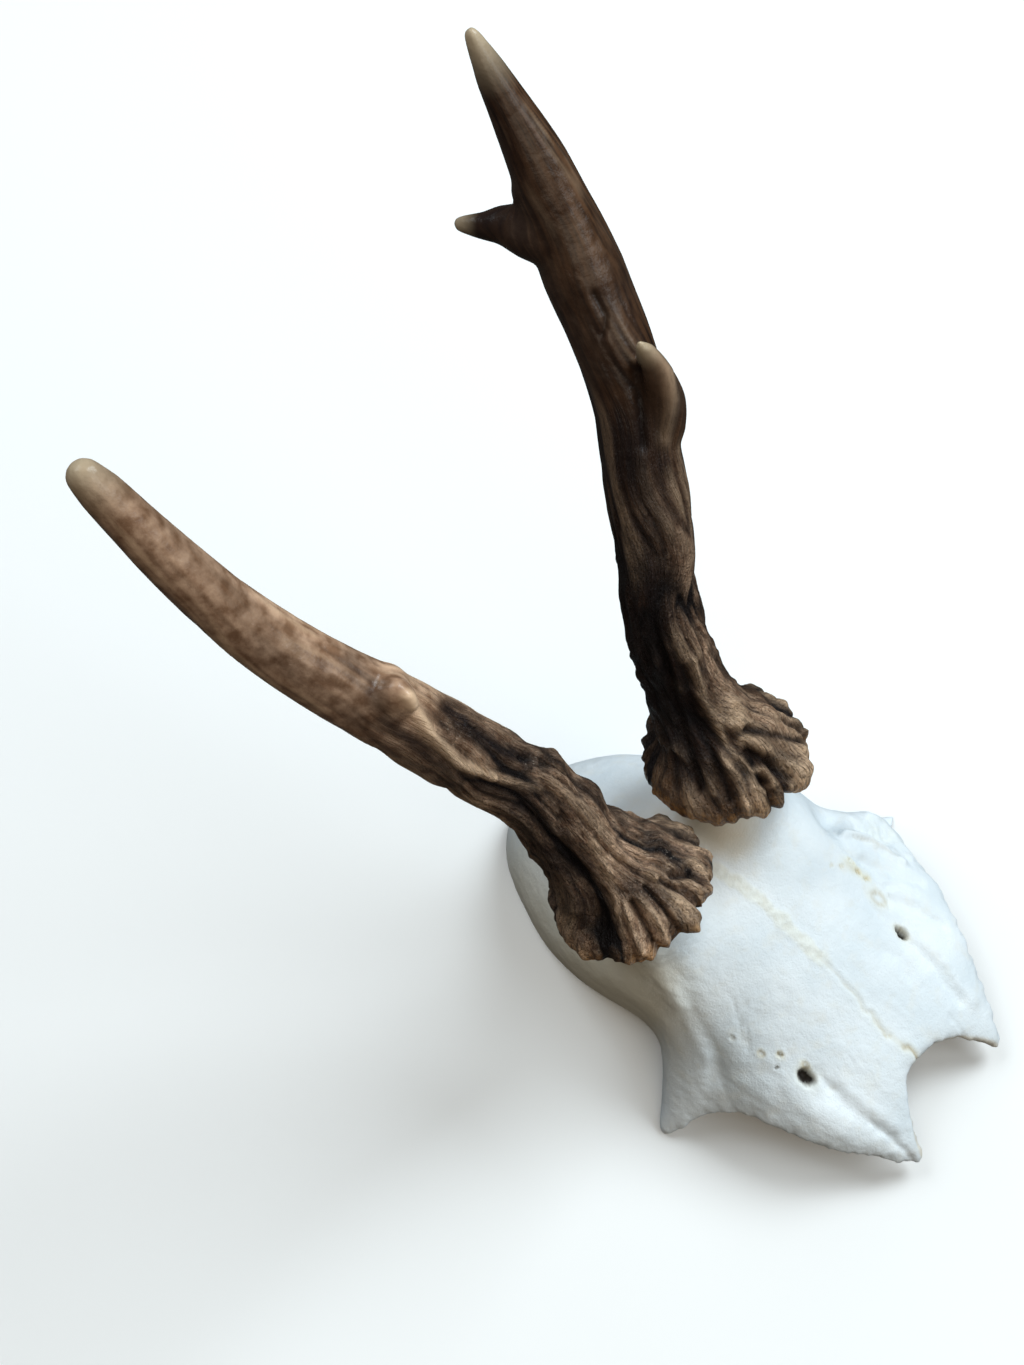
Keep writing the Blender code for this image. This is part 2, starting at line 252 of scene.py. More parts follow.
for across, forward, half_width, half_length, depth, stain in PITS:
    shift = plan + 0.6 * wander - (across, forward)
    away = np.hypot(shift[:, 0] / half_width, shift[:, 1] / half_length)
    relief -= depth * np.clip(1.3 - away, 0, 1) ** 0.5 * (away < 1.3)
    relief += 0.10 * dome(away - 1.7, 0.5)
    # The deep openings are painted near-black inside: painted shade in the holes
    dark += np.clip((depth - 0.7) / 0.9, 0, 1) * np.clip((1.25 - away) / 0.35, 0, 1)
    cream += 0.8 * stain * dome(away - 1.2, 0.8)
    amber += 0.85 * stain * dome(away - 0.9, 0.45) * (0.3 + pebbles)

# Furrows where vessels ran, scratches, and the raised edges of the forehead and temple
FURROWS = (
    (((-17.5, -45.0), (-18.0, -49.0), (-17.5, -55.5), (-16.5, -61.0)), 1.6, 0.45),
    (((-17.3, -55.5), (-16.6, -61.0), (-16.4, -66.0)), 0.6, 0.45),
    (((-16.9, -39.8), (-16.9, -42.5), (-17.6, -45.5)), 0.9, 0.40),
    (((17.6, -41.0), (17.2, -45.5), (16.4, -50.5), (15.0, -56.0)), 1.4, 0.55),
    (((21.8, -33.0), (24.8, -38.0), (25.8, -44.0)), 1.5, 0.60),
    (((24.8, -24.0), (27.5, -30.5), (30.5, -36.0)), 1.2, 0.50),
    (((32.2, -18.5), (33.8, -21.5), (35.0, -24.5)), 1.7, 1.5),
    (((25.8, -17.0), (24.6, -22.0), (24.2, -27.0)), 1.4, 0.55),
    (((-28.5, -25.0), (-27.0, -22.0), (-25.0, -14.0)), 2.2, 1.1),
    (((-21.5, -25.5), (-18.5, -22.5), (-15.5, -22.0)), 0.45, 0.20),
    (((-22.0, -27.5), (-19.0, -24.5), (-16.0, -24.5)), 0.45, 0.20),
    (((-19.5, -22.5), (-17.0, -20.0)), 0.45, 0.18),
    (((-9.9, -43.8), (-10.7, -45.6)), 0.3, 0.20),
    (((-8.9, -46.2), (-9.2, -47.6)), 0.3, 0.14),
    (((-7.2, -49.4), (-7.9, -51.0)), 0.3, 0.20),
    (((10.6, -56.0), (10.4, -60.5)), 0.3, 0.30),
    (((20.5, -34.0), (22.4, -32.5), (22.8, -29.5)), 0.5, 0.35),
    (((17.9, -33.5), (17.9, -30.0), (19.4, -27.5)), 0.5, 0.25),
    (((24.0, -30.5), (26.5, -33.0), (27.5, -36.5)), 0.6, 0.35),
    (((12.0, -38.0), (13.0, -41.5), (11.5, -45.0)), 1.2, 0.25),
)
for course, reach, depth in FURROWS:
    away, _ = beside(plan + 0.7 * wander, course)
    relief -= depth * dome(away, reach)
RIDGES = (
    (((-22.0, 1.0), (-22.6, -5.0), (-23.6, -10.5), (-25.6, -15.5), (-27.5, -21.0)), 1.6, 1.0),
    (((-22.3, -39.0), (-22.6, -45.0), (-21.5, -52.0)), 2.6, 0.6),
    (((27.5, -17.5), (29.8, -21.0), (31.2, -25.0), (32.0, -30.0)), 0.9, 1.2),
    (((37.5, -18.5), (39.3, -21.5), (38.2, -25.5), (35.0, -31.0)), 1.0, 0.8),
    (((-15.0, -46.0), (-15.4, -52.0), (-14.5, -60.0)), 1.6, 0.25),
    (((20.0, -44.0), (19.5, -50.0), (17.5, -58.0)), 1.8, 0.35),
)
for course, reach, height in RIDGES:
    away, _ = beside(plan + 0.6 * wander, course)
    relief += height * dome(away, reach) * np.clip(facing[:, 2] + 0.6, 0, 1)
porous, _ = beside(place, ((33.5, -20.0, 19.0), (37.0, -25.0, 14.0)))
relief += dome(porous, 2.2) * 0.5 * (patches(place, 0.8, 9) - 0.5)
cream += 0.6 * dome(porous, 2.6) * patches(place, 1.1, 10)
smear, _ = beside(plan + 0.8 * wander, ((21.6, -21.5), (21.8, -24.0), (22.4, -26.0)))
amber += 0.45 * dome(smear, 0.7) * patches(place, 1.0, 17)
cream += 0.7 * dome(smear, 1.3)
# The fold: a fine furrow, with a faint amber line in it that is partly real tint and partly painted shade in
# the crease
fold, _ = beside(plan + 0.4 * wander, ((27.9, -19.5), (30.6, -23.6), (31.7, -28.5)))
relief -= 0.5 * dome(fold, 0.4)
amber += 0.22 * dome(fold, 0.4)

# Bone is never quite even: slow swells, fine fibres that run to the nose, thin edges frayed and pitted
fibres = patches(place * (1.0, 0.22, 0.6), 0.75, 11) - 0.5
relief += 0.55 * (patches(place, 8.0, 6) - 0.5) + 0.10 * (patches(place, 2.4, 7) - 0.5)
uneven = dome(np.hypot(np.abs(plan[:, 0]) - 23.0, (plan[:, 1] + 31.0) / 1.6), 7.5)
relief += 0.35 * uneven * (patches(place, 3.0, 16) - 0.5)
relief += 0.16 * fibres * np.clip(2.2 * patches(place, 9.0, 12) - 0.8, 0, 1)
frayed = dome(facing[:, 2], 0.55) * np.clip((-18.0 - place[:, 1]) / 6.0, 0, 1)
relief = outer * relief
relief += frayed * (0.9 * (patches(place, 2.0, 13) - 0.5) + 0.5 * (patches(place, 0.9, 14) - 0.5))
relief += (1 - outer) * (0.55 * (patches(place, 5.0, 15) - 0.5) + 0.16 * (patches(place, 1.3, 8) - 0.5))
sawn = np.clip((0.6 - place[:, 2]) / 0.3, 0, 1) * np.clip(-facing[:, 2], 0, 1)
relief *= 1 - np.clip((1.5 - place[:, 2]) / 1.2, 0, 1)
place += facing * relief[:, None]
place[:, 2] = np.maximum(place[:, 2], 0.02)
put(cap, place)

# Old blood has browned the valley between the pedicles and the bone round the foot of each coronet; this
# brown is also painted shade in the valley and under the coronets
LEFT_SEAT, LEFT_AXIS = np.array((17.0, 8.2, 47.8)), np.array((0.17, 0.22, 0.96))
RIGHT_SEAT, RIGHT_AXIS = np.array((-16.8, 4.8, 48.2)), np.array((0.08, 0.50, 0.86))
valley = dome(np.hypot(plan[:, 0] - 2.0, (plan[:, 1] - 10.0) / 1.2), 11.5)
valley *= np.clip((place[:, 2] - 22.0) / 14.0, 0, 1)
stain = 0.8 * valley + 0.5 * dome(np.linalg.norm(place - (7.5, -1.5, 43.5), axis=1), 4.5)
for seat, axis in ((LEFT_SEAT, LEFT_AXIS), (RIGHT_SEAT, RIGHT_AXIS)):
    under = (place - seat) @ axis
    near = np.linalg.norm(place - seat, axis=1)
    stain += 0.8 * np.clip((under + 5.0) / 5.0, 0, 1) * dome(near, 14.0)
note(cap, "outer", outer)
note(cap, "sawn", sawn)
# Warmer and darker on the faces of the temple that turn to the animal's right
temple = np.clip(-1.3 * facing[:, 0] - 0.35, 0, 1) * np.clip((place[:, 1] + 20.0) / 12.0, 0, 1)
note(cap, "warmer_temple_faces", temple)
note(cap, "cream", np.clip(cream, 0, 1) * outer)
note(cap, "amber", np.clip(amber, 0, 1) * outer)
note(cap, "painted_hole_shade", np.clip(dark, 0, 1) * outer)
note(cap, "stain_and_painted_shade", np.clip(stain, 0, 1))
note(cap, "lie", place)

# Cloudy shares over a surface, for bone and horn alike: Least where the noise is below Low, Most above High
mottle = bpy.data.node_groups.new("mottle", "ShaderNodeTree")
mottle.interface.new_socket(name="Place", in_out="INPUT", socket_type="NodeSocketVector")
for name in ("Scale", "Low", "High", "Least", "Most"):
    mottle.interface.new_socket(name=name, in_out="INPUT", socket_type="NodeSocketFloat")
mottle.interface.new_socket(name="Share", in_out="OUTPUT", socket_type="NodeSocketFloat")
way_in = mottle.nodes.new("NodeGroupInput")
way_out = mottle.nodes.new("NodeGroupOutput")
cloud = mottle.nodes.new("ShaderNodeTexNoise")
cloud.inputs["Detail"].default_value = 5.0
spread = mottle.nodes.new("ShaderNodeMapRange")
mottle.links.new(way_in.outputs["Place"], cloud.inputs["Vector"])
mottle.links.new(way_in.outputs["Scale"], cloud.inputs["Scale"])
mottle.links.new(cloud.outputs["Fac"], spread.inputs["Value"])
mottle.links.new(way_in.outputs["Low"], spread.inputs["From Min"])
mottle.links.new(way_in.outputs["High"], spread.inputs["From Max"])
mottle.links.new(way_in.outputs["Least"], spread.inputs["To Min"])
mottle.links.new(way_in.outputs["Most"], spread.inputs["To Max"])
mottle.links.new(spread.outputs["Result"], way_out.inputs["Share"])


def read(tree, name, what="Fac"):
    """What the material finds stored under this name at each point."""
    made = tree.nodes.new("ShaderNodeAttribute")
    made.attribute_name = name
    return made.outputs[what]


def feed(tree, socket, value):
    """Gives a socket a link or a plain value."""
    if isinstance(value, bpy.types.NodeSocket):
        tree.links.new(value, socket)
    else:
        socket.default_value = value


def clouds(tree, where, scale, low, high, least=0.0, most=1.0):
    """A cloudy share: least where the noise is below low, most where it is above high."""
    made = tree.nodes.new("ShaderNodeGroup")
    made.node_tree = mottle
    values = {"Place": where, "Scale": scale, "Low": low, "High": high, "Least": least, "Most": most}
    for name, value in values.items():
        feed(tree, made.inputs[name], value)
    return made.outputs["Share"]


def tint(tree, share, under, over):
    """Lays one colour over another by a share."""
    made = tree.nodes.new("ShaderNodeMix")
    made.data_type = "RGBA"
    for name, value in (("Factor", share), ("A", under), ("B", over)):
        feed(tree, made.inputs[name], value)
    return made.outputs["Result"]


def product(tree, one, other):
    """One value times the other."""
    made = tree.nodes.new("ShaderNodeMath")
    made.operation = "MULTIPLY"
    feed(tree, made.inputs[0], one)
    feed(tree, made.inputs[1], other)
    return made.outputs["Value"]


def raised(tree, height, depth, under=None):
    """A fine unevenness, this many mm deep, on top of another."""
    made = tree.nodes.new("ShaderNodeBump")
    made.inputs["Distance"].default_value = depth * MM
    feed(tree, made.inputs["Height"], height)
    if under:
        feed(tree, made.inputs["Normal"], under)
    return made.outputs["Normal"]


bone = bpy.data.materials.new("bleached bone")
bone.use_nodes = True
tree = bone.node_tree
skin = tree.nodes["Principled BSDF"]
skin.inputs["Specular IOR Level"].default_value = 0.35
lie = read(tree, "lie", "Vector")
colour = tint(tree, clouds(tree, lie, 0.07, 0.38, 0.64), (0.785, 0.835, 0.87, 1), (0.70, 0.765, 0.81, 1))
colour = tint(tree, clouds(tree, lie, 0.30, 0.52, 0.75, 0.0, 0.28), colour, (0.74, 0.71, 0.62, 1))
# Warmer and darker where the temple faces turn to the animal's right
colour = tint(tree, read(tree, "warmer_temple_faces"), colour, (0.72, 0.66, 0.53, 1))
colour = tint(tree, product(tree, read(tree, "cream"), 0.8), colour, (0.79, 0.785, 0.66, 1))
colour = tint(tree, read(tree, "amber"), colour, (0.42, 0.33, 0.17, 1))
# Real blood stain and painted shade together: brown in the valley between the pedicles and under the coronets
stain_and_shade_share = product(tree, read(tree, "stain_and_painted_shade"), clouds(tree, lie, 0.20, 0.25, 0.70, 0.45, 1.0))
colour = tint(tree, stain_and_shade_share, colour, (0.66, 0.535, 0.40, 1))
inside = tint(tree, clouds(tree, lie, 0.16, 0.35, 0.70), (0.78, 0.76, 0.70, 1), (0.66, 0.61, 0.51, 1))
colour = tint(tree, read(tree, "outer"), inside, colour)
spongy = tint(tree, clouds(tree, lie, 1.1, 0.44, 0.56), (0.34, 0.26, 0.17, 1), (0.74, 0.69, 0.56, 1))
colour = tint(tree, read(tree, "sawn"), colour, spongy)
# Painted shade: near-black inside the deep openings
colour = tint(tree, read(tree, "painted_hole_shade"), colour, (0.02, 0.014, 0.01, 1))
tree.links.new(colour, skin.inputs["Base Color"])
skin.inputs["Roughness"].default_value = 0.55
fine_pores = raised(tree, clouds(tree, lie, 2.2, 0.30, 0.55), 0.03)
tree.links.new(raised(tree, clouds(tree, lie, 0.5, 0.35, 0.70), 0.07, fine_pores), skin.inputs["Normal"])
cap.data.materials.append(bone)
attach(cap, "root")
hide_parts("skull_cap")

# The left antler: coronet, beam and two tines, solid bone that grew as one on its pedicle. The lower
# half is deeply grooved and dark with old sap and blood; the tips are rubbed smooth and pale.
# The left antler's whole colour is kept far darker than the right one's, darkest down its inner side and rear
# tine: painted shade
BEAM = (
    (17.0, 6.6, 47.2), (17.0, 9.6, 53.0), (17.5, 14.0, 59.5), (18.7, 19.8, 67.5), (21.5, 28.5, 85.0),
    (27.0, 35.5, 100.0), (32.2, 42.0, 114.0), (37.2, 49.5, 126.5), (42.7, 63.0, 141.5), (45.9, 74.5, 158.0),
    (47.2, 84.5, 171.5), (47.8, 89.0, 178.0),
)
BEAM_RADII = (10.0, 12.6, 10.0, 8.4, 7.7, 7.6, 7.6, 7.0, 7.3, 5.3, 3.0, 1.5)


def eased(course, radii, side):
    """The course of a beam or tine as a smooth line of short steps, with its radius at each."""
    points = np.array(course, float) * (side, 1, 1)
    values = np.column_stack([points, radii])
    padded = np.vstack([2 * values[0] - values[1], values, 2 * values[-1] - values[-2]])
    line = []
    for a, b, c, d in zip(padded, padded[1:], padded[2:], padded[3:]):
        for t in np.linspace(0, 1, 8, endpoint=False):
            bend = (2 * a - 5 * b + 4 * c - d) * t**2 + (3 * b - a - 3 * c + d) * t**3
            line.append(b + 0.5 * ((c - a) * t + bend))
    line = np.array(line + [values[-1]])
    return line[:, :3], line[:, 3]


def horn_lines(place, course, radii, side):
    """How the points lie about a beam: mm along it, angle round it, mm out from it and its radius there."""
    line, girth = eased(course, radii, side)
    step = np.gradient(line, axis=0)
    step /= np.linalg.norm(step, axis=1)[:, None]
    passed = np.concatenate([[0], np.cumsum(np.linalg.norm(np.diff(line, axis=0), axis=1))])
    pick = np.array([((place - point) ** 2).sum(1) for point in line]).argmin(0)
    apart = place - line[pick]
    more = (apart * step[pick]).sum(1)
    apart -= more[:, None] * step[pick]
    front = np.array((0.0, -1.0, 0.0)) - step * (step @ np.array((0.0, -1.0, 0.0)))[:, None]
    front /= np.linalg.norm(front, axis=1)[:, None]
    flank = np.cross(step, front)
    angle = np.arctan2((apart * flank[pick]).sum(1) * side, (apart * front[pick]).sum(1))
    return passed[pick] + more, angle, np.linalg.norm(apart, axis=1), girth[pick]


def ribbed(place, size, seed):
    """Rounded ribs with sharp beds between them, from 0 in the beds to 1 on the ribs."""
    return np.clip(1.8 * np.abs(2 * patches(place, size, seed) - 1), 0, 1)


def marked(place, marks, depth_counts=1.0):
    """How strongly each point is marked by any of these courses, from 0 to 1.

    With depth_counts under 1, a distance along the view counts less than one across it.
    """
    total = np.zeros(len(place))
    squash = np.eye(3) - (1 - depth_counts) * np.outer(TO_VIEWER, TO_VIEWER)
    place = place @ squash
    for course, reach, strength in marks:
        total = np.maximum(total, strength * dome(beside(place, np.array(course) @ squash)[0], reach))
    return total


RIB_HEIGHT, FLUTE_HEIGHT, LINE_HEIGHT = 1.2, 0.75, 0.65  # mm, from bed to crest
LOBE_HEIGHT = 2.4
PEARL_COUNT = 110


def dress_antler(antler, radii, side, seat, axis, seed, marks):
    """Cuts the grooves, pearls and coronet rays into an antler and notes what its colour needs."""
    place, facing = spots(antler)
    axis = axis / np.linalg.norm(axis)
    first = np.cross(axis, (0.0, 1.0, 0.0))
    first /= np.linalg.norm(first)
    apart = place - seat
    height = apart @ axis
    radial = apart - np.outer(height, axis)
    reach = np.linalg.norm(radial, axis=1)
    outward = radial / np.maximum(reach, 0.01)[:, None]
    turn = np.arctan2(radial @ np.cross(axis, first), radial @ first)
    flare = np.clip((reach - 8.5) / 5.0, 0, 1) * np.exp(-np.clip(height - 4.5, 0, None) / 6.0)

    # The solid's fifteen plain lumps are taken back, to make room for the real coronet's ragged rays
    plain = np.abs(np.sin(7.5 * turn + 0.9 * np.sin(3 * turn + side))) - 0.55
    plain *= (0.6 + 0.4 * np.sin(2 * turn + 1.3 * side)) * np.clip((reach - 8.0) / 6.0, 0, 1)
    plain *= np.exp(-np.clip(height - 4.0, 0, None) / 6.0)
    place -= outward * (2.0 * plain)[:, None]
    place, facing = put(antler, nudged(place, marks["swells"]))

    run, angle, out, radius = horn_lines(place, BEAM, radii, side)
    on_tine = np.clip((out / radius - 1.25) / 0.5, 0, 1) * np.clip((run - 70.0) / 10.0, 0, 1)
    bent = angle + 0.010 * run + 0.5 * (patches(place, 13.0, seed + 9) - 0.5)
    flow = run - 0.8 * (out - radius)
    round_it = np.stack([7.5 * np.cos(bent), 7.5 * np.sin(bent), flow / 7.5], axis=1)
    ribs = ribbed(round_it, 4.6, seed)
    flutes = ribbed(round_it * (1, 1, 1.2), 2.3, seed + 1)
    lines = patches(round_it * (1, 1, 1.3), 0.85, seed + 2)
    deep = np.interp(run, (0, 12, 30, 55, 75, 95, 125, 155), (1.25, 1.3, 1.15, 0.9, 0.5, 0.24, 0.12, 0.03))
    deep = deep * (1 - 0.75 * on_tine)
    relief = RIB_HEIGHT * (ribs - 0.55) + FLUTE_HEIGHT * (flutes - 0.55) + LINE_HEIGHT * (lines - 0.5)
    relief = deep * relief

    # Rays of the coronet: ragged lobes on the side that faces front and left, fine striae elsewhere
    rim_place = np.stack([16 * np.cos(turn), 16 * np.sin(turn), (height + 0.6 * reach) / 5.0], axis=1)
    lobes = ribbed(rim_place, 3.3, seed + 3)
    nubs = patches(rim_place * (1, 1, 2.2), 1.7, seed + 4)
    strong = np.clip(0.45 + 0.75 * outward @ np.array((0.75, -0.66, 0.0)), 0.15, 1)
    edge = np.clip((reach - 12.5) / 3.0, 0, 1) * np.exp(-np.clip(height - 4.0, 0, None) / 4.0)
    relief = relief * (1 - 0.45 * flare)
    relief += flare * strong * (LOBE_HEIGHT * (lobes - 0.5) + 1.0 * (nubs - 0.5))
    relief += edge * (0.4 + 0.6 * strong) * 1.9 * (nubs - 0.45)
    relief += flare * 0.5 * (patches(place, 1.2, seed + 5) - 0.5)

    # Pearls: small round warts on the lower beam and the coronet's skirt
    dice = np.random.default_rng(seed)
    pearls = 0 * relief
    for _ in range(PEARL_COUNT):
        at_angle = dice.uniform(-np.pi, np.pi)
        at_run = dice.gamma(2.0, 9.0) + 2.0
        size = dice.uniform(0.5, 1.2)
        around = np.abs(np.angle(np.exp(1j * (angle - at_angle)))) * out
        away = np.hypot(around / size, (run - at_run) / (1.4 * size))
        pearls = np.maximum(pearls, 0.55 * size * dome(away, 1.0))
    relief += pearls

    # Pitted places, raised lines and loops given one by one for this antler
    pitted = marked(place, marks["pitted"])
    grit = patches(place, 0.8, seed + 6)
    hollows = patches(place, 1.8, seed + 7)
    relief = relief * (1 - 0.6 * pitted) + pitted * (1.1 * (grit - 0.55) + 0.6 * (hollows - 0.6))
    raised_lines = marked(place, marks["lines"], 0.25)
    cuts = marked(place, marks["cuts"], 0.25)
    relief += 0.8 * raised_lines - 1.2 * cuts
    put(antler, place + facing * relief[:, None])

    beds = np.clip((0.50 - ribs) * 1.8, 0, 1) + 0.8 * np.clip((0.42 - flutes) * 2.0, 0, 1)
    beds += 0.5 * np.clip(0.42 - lines, 0, 1)
    beds = beds * np.clip(deep * 1.25, 0, 1)
    beds = np.maximum(beds, flare * strong * np.clip((0.45 - lobes) * 3.0, 0, 1))
    beds = np.maximum(beds * (1 - 0.8 * raised_lines), 0.9 * cuts)
    tops = np.clip((ribs - 0.6) * 1.6, 0, 1) * np.clip((flutes - 0.35) * 1.6, 0, 1)
    tops *= np.clip(0.35 + deep, 0, 1)
    tops = np.maximum(tops, flare * strong * np.clip((lobes - 0.5) * 2.0, 0, 1))
    tops = np.clip(tops + 0.5 * pearls + 0.7 * raised_lines, 0, 1) * (1 - cuts)
    old = patches(round_it, 5.0, seed + 8)
    # Tone along the beam: real fawn and brown, except that the left antler's very low values are painted
    # shade
    light = np.interp(run, (0, 25, 60, 95, 130), marks["tone_with_painted_shade"]) + 0.5 * (old - 0.5)
    # Tan courses: painted light down the left antler's lit edge, and partly real tan on the right antler's
    # ridges
    light += 0.9 * marked(place, marks["tan_and_painted_light"])
    # Dark courses are painted shade on the sides turned from the light, with some real dark; pitted places
    # and black patches are real dark
    dark_patches_and_painted_shade = np.maximum(marked(place, marks["dark"], 0.4), 0.9 * pitted)
    black_patches = np.clip((0.42 - old) * 6, 0, 1) * np.clip(1.2 - run / 60, 0, 1) * (1 - raised_lines)
    dark_patches_and_painted_shade = np.maximum(dark_patches_and_painted_shade, 0.8 * black_patches)
    pale = np.zeros(len(place))
    for tip, length in marks["pale_tips"]:
        from_tip = np.linalg.norm(place - np.array(tip), axis=1) / length
        pale = np.maximum(pale, np.clip(1.15 - from_tip, 0, 1) ** 1.4)
    note(antler, "hollow", np.clip(beds, 0, 1))
    note(antler, "crest", tops)
    note(antler, "light", np.clip(light, 0, 1))
    note(antler, "dark_patches_and_painted_shade", np.clip(dark_patches_and_painted_shade, 0, 1))
    note(antler, "pitted", np.clip(pitted, 0, 1))
    note(antler, "pale_tip", pale)
    rust = edge * np.clip((5.0 - height) / 4.0, 0, 1) + marked(place, marks["rust"])
    note(antler, "rust", np.clip(rust, 0, 1))
    note(antler, "coarse", np.interp(run, (50, 95), (1, 0)) * (1 - on_tine))
    note(antler, "grain", round_it)
    note(antler, "lie", place)


left = fine_copy("left_antler", "three_point_antler", 0.41, 18)
dress_antler(
    left, BEAM_RADII, 1, LEFT_SEAT, LEFT_AXIS, 20,
    {
        # Kept very low: painted shade over the whole left antler
        "tone_with_painted_shade": (0.08, 0.02, 0.0, 0.05, 0.12),
        "swells": (
            ((16.4, 33.3, 92.9), 3.0, -0.9 * RIGHT_IN_VIEW),
            ((13.0, 29.0, 82.5), 2.6, -1.3 * RIGHT_IN_VIEW),
            ((12.0, 25.3, 76.0), 2.6, -1.1 * RIGHT_IN_VIEW),
            ((10.8, 21.8, 68.5), 2.6, -1.1 * RIGHT_IN_VIEW),
            ((40.6, 74.6, 152.8), 3.0, 1.2 * UP_IN_VIEW - 1.2 * RIGHT_IN_VIEW),
        ),
        "pitted": (
            (((21.8, -3.7, 57.4), (19.0, -1.0, 60.5)), 1.6, 0.7),
            (((8.4, 11.1, 62.4), (9.0, 15.0, 68.0)), 2.5, 0.5),
        ),
        "lines": (
            (
                ((18.0, 19.0, 82.5), (16.0, 14.0, 73.0), (14.0, 6.5, 65.5), (14.0, 0.5, 61.5),
                 (15.5, -1.0, 60.5)),
                0.8, 1.0,
            ),
            (
                ((13.0, -3.5, 58.0), (12.5, -1.5, 59.5), (14.0, 0.5, 61.0), (16.0, -1.0, 60.0),
                 (15.5, -4.0, 57.5)),
                0.7, 0.9,
            ),
            (((8.5, 15.0, 63.5), (8.5, 10.0, 62.5), (7.5, 6.0, 60.5), (6.5, 4.0, 59.0)), 0.8, 0.8),
            (((12.0, 6.5, 64.5), (11.5, 2.0, 61.0), (9.0, -2.0, 57.0)), 0.8, 0.8),
            (((20.5, 11.0, 69.5), (23.5, 7.0, 64.0), (27.0, 2.0, 59.0), (29.0, 0.0, 56.0)), 1.2, 0.8),
            (((18.5, 8.0, 67.0), (21.0, 3.5, 64.0), (24.5, -1.0, 58.5), (25.5, -3.5, 55.5)), 1.0, 0.9),
            (((16.5, 5.0, 65.0), (18.8, 0.5, 62.5), (20.5, -3.5, 58.0), (21.5, -5.0, 55.5)), 1.0, 0.9),
            (
                ((36.9, 44.7, 140.8), (38.2, 41.6, 135.3), (36.9, 39.6, 129.9), (33.5, 38.5, 122.0)),
                1.3, 0.6,
            ),
        ),
        "cuts": (
            (((18.5, 6.0, 65.5), (22.5, 1.5, 61.5), (27.0, -3.0, 55.0)), 0.9, 1.0),
            (((16.0, 3.0, 64.5), (17.5, -1.0, 61.0), (18.5, -5.0, 56.0)), 0.7, 1.0),
            (
                ((16.5, 20.0, 80.0), (14.5, 16.0, 74.0), (12.0, 10.5, 67.0), (10.0, 5.0, 62.5),
                 (7.5, 0.5, 59.0)),
                1.0, 1.0,
            ),
            (
                ((15.0, 24.0, 86.0), (13.0, 19.5, 76.5), (10.5, 15.0, 68.0), (8.0, 9.0, 61.0),
                 (6.0, 6.5, 58.5)),
                0.8, 0.9,
            ),
            (((22.0, 9.5, 67.0), (25.5, 4.5, 60.5), (29.5, -1.0, 54.0)), 0.6, 0.8),
            (((14.5, -2.5, 59.5), (14.6, -2.9, 59.0)), 0.8, 1.0),
            (((35.6, 46.6, 134.0), (33.4, 43.6, 129.0), (30.1, 40.3, 123.0)), 0.9, 0.8),
            (((38.4, 57.5, 144.3), (37.7, 54.4, 141.1), (35.7, 53.6, 138.8)), 0.6, 0.5),
        ),
        # Painted light: a tan strip down the lit side of the beam
        "tan_and_painted_light": (
            (
                ((27.0, 36.0, 112.0), (25.5, 28.0, 98.0), (22.5, 18.5, 82.5), (23.5, 9.0, 68.0),
                 (26.5, 1.1, 59.8)),
                4.2, 1.0,
            ),
            (((4.2, 14.9, 54.4), (4.5, 5.7, 56.0)), 4.5, 0.45),
        ),
        # Painted shade down the inner side and rear of the beam and on the rear tine
        "dark": (
            (
                ((30.0, 44.0, 124.0), (24.3, 34.7, 110.7), (15.5, 29.3, 90.9), (11.9, 21.5, 75.7),
                 (8.4, 11.1, 62.4)),
                7.0, 0.85,
            ),
            (((38.5, 56.3, 143.2), (34.5, 50.0, 133.0)), 6.0, 0.55),
            (((38.0, 80.0, 146.0), (41.0, 74.0, 148.0)), 6.0, 0.85),
            (
                ((44.0, 88.5, 172.0), (41.0, 79.0, 158.0), (37.5, 69.0, 141.5),
                 (32.0, 55.0, 126.0), (27.0, 47.0, 114.0)),
                5.5, 0.85,
            ),
            (((37.5, 40.0, 124.0), (36.0, 41.0, 118.0)), 4.0, 0.5),
        ),
        "rust": ((((3.5, 15.0, 52.0), (3.0, 5.0, 52.0), (10.0, -4.0, 53.0)), 4.0, 0.55),),
        "pale_tips": ((BEAM[-1], 10.0), ((36.2, 46.4, 143.0), 6.0), ((36.6, 84.4, 144.0), 4.0)),
    },
)

horn = bpy.data.materials.new("antler")
horn.use_nodes = True
tree = horn.node_tree
skin = tree.nodes["Principled BSDF"]
skin.inputs["Specular IOR Level"].default_value = 0.22
grain = read(tree, "grain", "Vector")
lie = read(tree, "lie", "Vector")
coarse = read(tree, "coarse")
brown = tint(tree, clouds(tree, grain, 0.9, 0.38, 0.62), (0.015, 0.007, 0.004, 1), (0.080, 0.037, 0.017, 1))
fawn = tint(tree, clouds(tree, lie, 0.35, 0.36, 0.66), (0.24, 0.130, 0.074, 1), (0.58, 0.375, 0.250, 1))
# Brown or fawn by the stored tone; the left antler's low tone is painted shade
colour = tint(tree, read(tree, "light"), brown, fawn)
worn_crest = product(tree, read(tree, "crest"), clouds(tree, grain, 1.8, 0.18, 0.46))
colour = tint(tree, worn_crest, colour, (0.72, 0.50, 0.33, 1))
rusty = product(tree, read(tree, "rust"), clouds(tree, lie, 0.8, 0.25, 0.60))
colour = tint(tree, rusty, colour, (0.62, 0.31, 0.10, 1))
threads = product(tree, coarse, clouds(tree, grain, 3.0, 0.49, 0.60, 0.0, 0.5))
colour = tint(tree, threads, colour, (0.030, 0.017, 0.014, 1))
flecks = product(tree, read(tree, "light"), clouds(tree, grain, 3.4, 0.54, 0.64, 0.0, 0.8))
colour = tint(tree, product(tree, coarse, flecks), colour, (0.60, 0.42, 0.29, 1))
